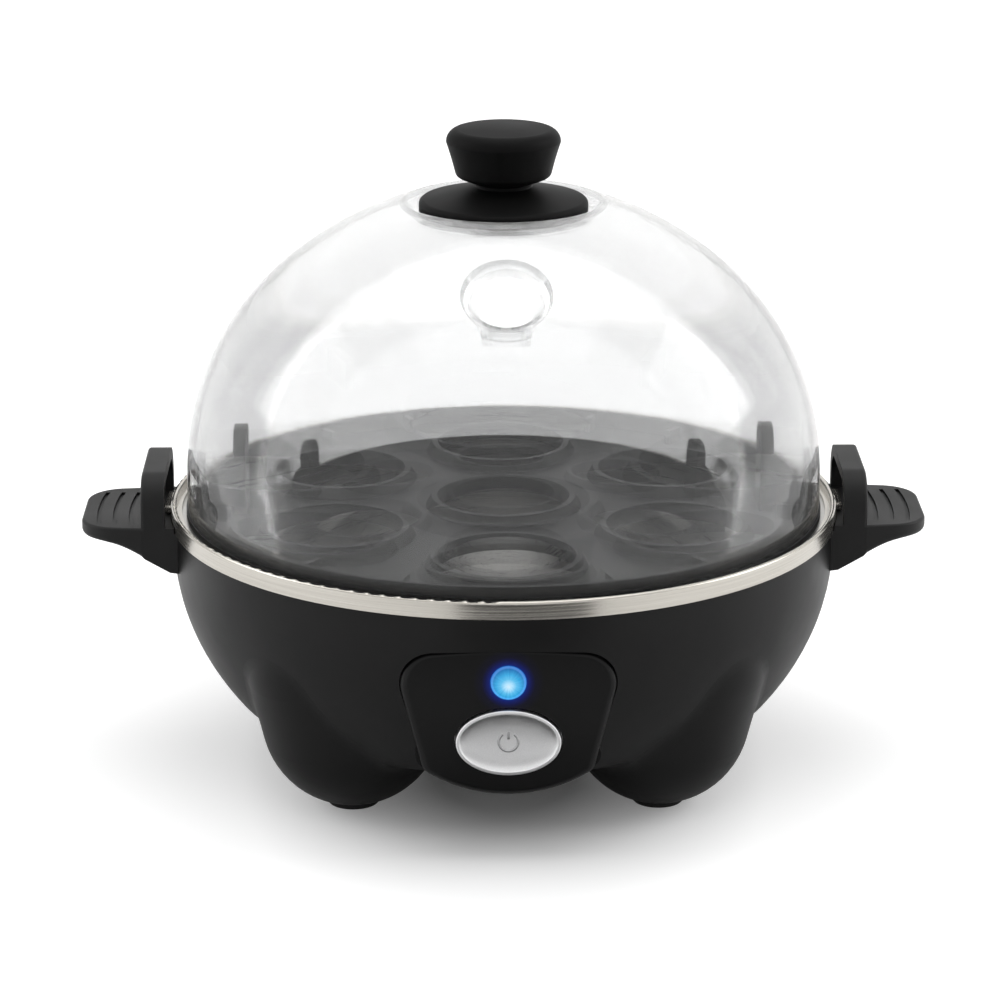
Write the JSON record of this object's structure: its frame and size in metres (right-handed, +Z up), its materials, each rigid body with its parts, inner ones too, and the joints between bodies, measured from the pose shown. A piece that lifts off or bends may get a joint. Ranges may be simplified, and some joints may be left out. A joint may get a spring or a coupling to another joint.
{
  "type": "electric egg cooker",
  "caption": "Countertop electric egg cooker: bowl-shaped base on bulbous feet, steel water pan, egg tray, clear dome lid with knob, push button and lamp.",
  "frame": {"origin": "on the table, under the middle of the bowl", "axes": "+Z up; -Y is the front, where the button and the lamp are; +X is the right handle as seen from the front"},
  "size_m": [0.202, 0.16, 0.1546],
  "materials": {
    "steel": "satin, brushed round the ring",
    "pan_steel": "smooth",
    "screw_steel": "zinc plated",
    "aluminium": "plain",
    "body_black": "fine matte",
    "panel_black": "satin",
    "handle_black": "fine matte",
    "tray_dark": "satin",
    "knob_black": "satin",
    "button_silver": "satin silver",
    "white_plastic": "plain",
    "board_green": "coated board",
    "silicone": "soft",
    "rubber_black": "soft",
    "ceramic_white": "glazed",
    "clear": "clear, polished",
    "lens_blue": "clear blue"
  },
  "bodies": {
    "base": {"base_housing": "body_black", "bottom_cover": "body_black", "cover_screws": "screw_steel", "rubber_feet": "rubber_black", "control_panel": "panel_black", "push_switch": "white_plastic", "control_board": "board_green", "board_screws": "screw_steel", "buzzer": "panel_black", "indicator_lens": "lens_blue", "indicator_lamp": "lens_blue", "lamp_holder": "white_plastic", "rim_ring": "steel", "heating_pan": "pan_steel", "pan_gasket": "silicone", "heat_spreader": "aluminium", "heating_element": "aluminium", "thermostat": "ceramic_white", "thermal_fuse": "ceramic_white", "fuse_clip": "screw_steel", "cord_grommet": "rubber_black", "right_handle": "handle_black", "left_handle": "handle_black", "handle_screws": "screw_steel"},
    "tray": {"egg_tray": "tray_dark"},
    "lid": {"lid_dome": "clear", "lid_knob": "knob_black", "knob_washer": "screw_steel", "knob_screw": "screw_steel"},
    "button": {"power_button": "button_silver", "switch_plunger": "white_plastic"}
  },
  "joints": [
    {"name": "tray_lift", "type": "slide", "parent": "base", "child": "tray", "axis": [0, 0, 1], "range_m": [0, 0.08]},
    {"name": "lid_lift", "type": "slide", "parent": "tray", "child": "lid", "axis": [0, 0, 1], "range_m": [0, 0.1]},
    {"name": "button_press", "type": "slide", "parent": "base", "child": "button", "axis": [0, 1, 0], "range_m": [0, 0.002], "stiffness_N_per_m": 400, "springref_m": -0.002}
  ]
}
